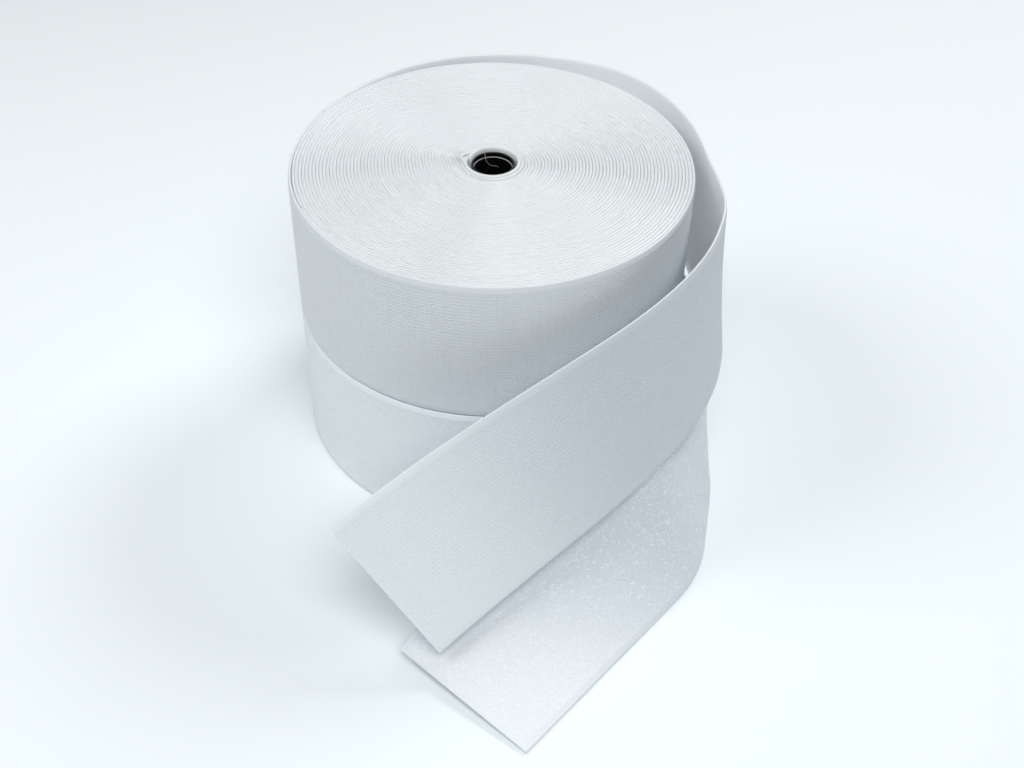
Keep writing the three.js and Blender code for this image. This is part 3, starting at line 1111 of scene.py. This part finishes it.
def core_materials(finish):
    """The core tube's black rim, the lip of its ledge with a painted highlight, and its bore, darker still as
    painted shade.
    """
    rim = core_material("core_rim", finish.core, 0.6)
    highlit_lip = core_material("core_worn_lip", finish.core_lip_highlight, 0.6)
    # Painted shade: the bore is the core's plastic made darker still, for the shade deep in the hole
    bore = core_material("core_bore", shade(finish.core, 0.4)[:3], 0.12)
    return rim, highlit_lip, bore


def tape_materials(name, side, finish):
    """A tape's face and its cloth: the back of a turn that shows it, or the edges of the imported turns."""
    face = hook_field_material(finish) if name == "hook" else loop_field_material(finish)
    key = f"{name}_{side}"
    return face, cloth_material(key, getattr(finish, key), *WEAVES[name], LIGHT_DEPTHS[key])


def paper_material(finish):
    """The floor's pale paper with a faint cloudiness."""

    def fill(tree):
        place = tree.nodes.new("ShaderNodeTexCoord").outputs["Generated"]
        clouds = noise(tree, place, scale=3.0)
        return {
            "Base Color": mixed(tree, clouds, shade(finish.floor, 0.99), shade(finish.floor, 1.0)),
            "Roughness": 0.9,
            "Specular IOR Level": 0.1,
        }

    return shared_material("floor_paper", fill)


# Pieces

class TAPE_OT_core_tubes(Operator):
    """Turn the two core tubes that the tapes are wound on"""

    bl_idname = "tape_rolls.core_tubes"
    bl_label = "Core tubes"

    def execute(self, context):
        scene = context.scene
        materials = core_materials(scene.tape_finish)
        for name, base in (("loop", LOOP_BASE), ("hook", HOOK_BASE)):
            tube = core_mesh(f"{name}_core_tube", scene.core_sizes, scene.tape_sizes.width, base, materials)
            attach(tube, f"{name}_roll")
            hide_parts(f"{name}_core")
        return {"FINISHED"}


class TAPE_OT_wound_turns(Operator):
    """Wind the tight turns of both tapes, which show their edges on the rolls' faces"""

    bl_idname = "tape_rolls.wound_turns"
    bl_label = "Wound turns"

    def execute(self, context):
        scene = context.scene
        sizes = scene.tape_sizes
        profile = tape_profile(sizes, [], 1, PACKED_EDGE)
        for name, route, seed in (
            ("loop", loop_route(scene), LOOP_SEED),
            ("hook", hook_route(scene), HOOK_SEED),
        ):
            last = route.lift + LAST_TURN_SPAN
            azimuth = np.linspace(route.start, last, round((route.start - last) / WOUND_STEP) + 1)
            parts = [tape_strip(sizes, route.wound(azimuth), profile, seed), start_fold_strip(route)]
            if name == "hook":
                parts.append(thread_strip(route))
            materials = tape_materials(name, "cloth", scene.tape_finish)
            turns = piece_from(f"{name}_wound_turns", parts, materials)
            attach(turns, f"{name}_roll")
            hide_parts(f"{name}_packed_turns")
        return {"FINISHED"}


class TAPE_OT_last_turns(Operator):
    """Wind the last turns, which show the tapes' faces on the rolls' sides"""

    bl_idname = "tape_rolls.last_turns"
    bl_label = "Last turns"

    def execute(self, context):
        scene = context.scene
        sizes = scene.tape_sizes
        hook = scene.hook_sizes
        loop = scene.loop_sizes
        rough = loop.pile_rough
        for name, route, step, profile, seed, roughness in (
            ("hook", hook_route(scene), HOOK_TURN_STEP, ribbed_profile(sizes, hook), HOOK_SEED, 0.0),
            ("loop", loop_route(scene), LOOP_TURN_STEP, pile_profile(sizes, loop), LOOP_SEED, rough),
        ):
            sections = route.wound(last_turn_azimuths(route, step))
            strip = tape_strip(sizes, sections, profile, seed, roughness)
            materials = tape_materials(name, "back", scene.tape_finish)
            turn = piece_from(f"{name}_last_turn", [strip], materials)
            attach(turn, f"{name}_roll")
            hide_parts(f"{name}_outer_turns")
        return {"FINISHED"}


def bend_at_line(piece, route):
    """Bake a piece's placement into its mesh. The tail's bending line is worked out here, but nothing uses
    it.
    """
    middle, along = route.bending_line()
    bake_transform(piece)


class TAPE_OT_loop_tail(Operator):
    """Lay out the loop tape's tail, which leans over on the floor"""

    bl_idname = "tape_rolls.loop_tail"
    bl_label = "Loop tail"

    def execute(self, context):
        scene = context.scene
        sizes = scene.tape_sizes
        run = scene.loop_sizes
        route = loop_route(scene)
        sections = route.tail(loop_tail_shape(scene, route), LOOP_TAIL_STEP)
        strip = tape_strip(sizes, sections, pile_profile(sizes, run), LOOP_SEED, run.pile_rough)
        tail = piece_from("loop_tail_tape", [strip], tape_materials("loop", "back", scene.tape_finish))
        bend_at_line(tail, route)
        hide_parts("loop_tail")
        fibres = fibre_arcs(sections, run.fibre_width, run.fibres // 2, TAIL_FIBRE_SEED)
        pile = piece_from("loop_tail_fibres", [fibres], [fibre_material(scene.tape_finish)], FIELD)
        bend_at_line(pile, route)
        return {"FINISHED"}


class TAPE_OT_hook_tail(Operator):
    """Lay out the hook tape's loosened turn and its tail, which droops over the loop tape's tail"""

    bl_idname = "tape_rolls.hook_tail"
    bl_label = "Hook tail"

    def execute(self, context):
        scene = context.scene
        sizes = scene.tape_sizes
        run = scene.hook_sizes
        route = hook_route(scene)
        sections = route.tail(hook_tail_shape(scene, route), HOOK_TAIL_STEP)
        strip = tape_strip(sizes, sections, ribbed_profile(sizes, run), HOOK_SEED)
        tail = piece_from("hook_tail_tape", [strip], tape_materials("hook", "back", scene.tape_finish))
        bend_at_line(tail, route)
        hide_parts("hook_tail", "hook_outer_turns")
        return {"FINISHED"}


class TAPE_OT_roll_fibres(Operator):
    """Scatter loose fibres over the loop roll's side"""

    bl_idname = "tape_rolls.roll_fibres"
    bl_label = "Roll fibres"

    def execute(self, context):
        scene = context.scene
        run = scene.loop_sizes
        route = loop_route(scene)
        sections = route.wound(np.linspace(route.hinge + 360, route.join_azimuth(), FIBRE_ROWS))
        fibres = fibre_arcs(sections, run.fibre_width, run.fibres, ROLL_FIBRE_SEED)
        pile = piece_from("loop_roll_fibres", [fibres], [fibre_material(scene.tape_finish)], FIELD)
        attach(pile, "loop_roll")
        return {"FINISHED"}


# Stage

def add_floor(finish):
    """A wide round floor of pale paper."""
    ring = polar(FLOOR_RADIUS, np.arange(FLOOR_SIDES) * 360 / FLOOR_SIDES) + UP * FLOOR_LEVEL
    mesh = bpy.data.meshes.new("floor")
    mesh.from_pydata(ring.tolist(), [], [list(range(FLOOR_SIDES))])
    in_scene("floor", mesh, [paper_material(finish)])


def add_lights(studio):
    """A faint light from all around and three large soft lights aimed at the rolls."""
    world = bpy.data.worlds.new("studio")
    world.use_nodes = True
    back = world.node_tree.nodes["Background"]
    back.inputs["Color"].default_value = (*LAMP_COLOUR, 1.0)
    back.inputs["Strength"].default_value = studio.ambient
    bpy.context.scene.world = world
    target = Vector((AXIS[0], AXIS[1], LAMP_TARGET))
    for name, power, place, size in (
        ("front_light", studio.front_power, *FRONT_LAMP),
        ("right_light", studio.right_power, *RIGHT_LAMP),
        ("left_light", studio.left_power, *LEFT_LAMP),
    ):
        lamp = bpy.data.lights.new(name, "AREA")
        lamp.shape = "DISK"
        lamp.size = size
        lamp.energy = power
        lamp.color = LAMP_COLOUR
        piece = in_scene(name, lamp)
        piece.location = place
        piece.rotation_euler = (target - Vector(place)).to_track_quat("-Z", "Y").to_euler()


def add_camera(studio):
    """The camera at the photograph's viewing angle."""
    heading = studio.camera_heading
    pitch = studio.camera_pitch
    forward = Vector((
        math.sin(heading) * math.cos(pitch),
        math.cos(heading) * math.cos(pitch),
        -math.sin(pitch),
    ))
    level_right = forward.cross(Vector(UP)).normalized()
    level_up = level_right.cross(forward)
    right = math.cos(studio.camera_roll) * level_right + math.sin(studio.camera_roll) * level_up
    up = math.cos(studio.camera_roll) * level_up - math.sin(studio.camera_roll) * level_right
    camera = bpy.data.cameras.new("camera")
    camera.lens = studio.lens
    camera.sensor_width = 36.0
    camera.clip_start = 0.01
    camera.clip_end = 100.0
    piece = in_scene("camera", camera)
    turn = Matrix((right, up, -forward)).transposed()
    place = Vector((AXIS[0], AXIS[1] - studio.camera_back, studio.camera_height))
    piece.matrix_world = Matrix.Translation(place) @ turn.to_4x4()
    bpy.context.scene.camera = piece


class TAPE_OT_studio(Operator):
    """Set up the pale floor, the soft lights and the camera"""

    bl_idname = "tape_rolls.studio"
    bl_label = "Studio"

    def execute(self, context):
        scene = context.scene
        add_camera(scene.tape_studio)
        add_floor(scene.tape_finish)
        add_lights(scene.tape_studio)
        scene.view_settings.view_transform = "Standard"
        return {"FINISHED"}


class TAPE_PT_rolls(Panel):
    """The rolls' sizes, finishes and making"""

    bl_idname = "TAPE_PT_rolls"
    bl_label = "Tape rolls"
    bl_space_type = "VIEW_3D"
    bl_region_type = "UI"
    bl_category = "Tape rolls"

    def draw(self, context):
        layout = self.layout
        for operator in OPERATORS:
            layout.operator(operator.bl_idname)
        for name in GROUPS:
            box = layout.box()
            box.label(text=name.replace("_", " ").capitalize())
            for prop in GROUPS[name].__annotations__:
                box.prop(getattr(context.scene, name), prop)


GROUPS = {
    "tape_sizes": TapeSizes,
    "core_sizes": CoreSizes,
    "hook_sizes": HookSizes,
    "loop_sizes": LoopSizes,
    "tape_finish": TapeFinish,
    "tape_studio": Studio,
}
OPERATORS = (
    TAPE_OT_core_tubes,
    TAPE_OT_wound_turns,
    TAPE_OT_last_turns,
    TAPE_OT_loop_tail,
    TAPE_OT_hook_tail,
    TAPE_OT_roll_fibres,
    TAPE_OT_studio,
)


def register():
    """Register the sizes, the operators and the panel."""
    for name, group in GROUPS.items():
        bpy.utils.register_class(group)
        setattr(bpy.types.Scene, name, PointerProperty(type=group))
    for operator in OPERATORS:
        bpy.utils.register_class(operator)
    bpy.utils.register_class(TAPE_PT_rolls)


def unregister():
    """Take the panel, the operators and the sizes off again."""
    bpy.utils.unregister_class(TAPE_PT_rolls)
    for operator in reversed(OPERATORS):
        bpy.utils.unregister_class(operator)
    for name, group in reversed(GROUPS.items()):
        delattr(bpy.types.Scene, name)
        bpy.utils.unregister_class(group)


def main():
    """Build every piece and the stage."""
    register()
    bpy.ops.tape_rolls.core_tubes()
    bpy.ops.tape_rolls.wound_turns()
    bpy.ops.tape_rolls.last_turns()
    bpy.ops.tape_rolls.loop_tail()
    bpy.ops.tape_rolls.hook_tail()
    bpy.ops.tape_rolls.roll_fibres()
    bpy.ops.tape_rolls.studio()


if __name__ == "__main__":
    main()
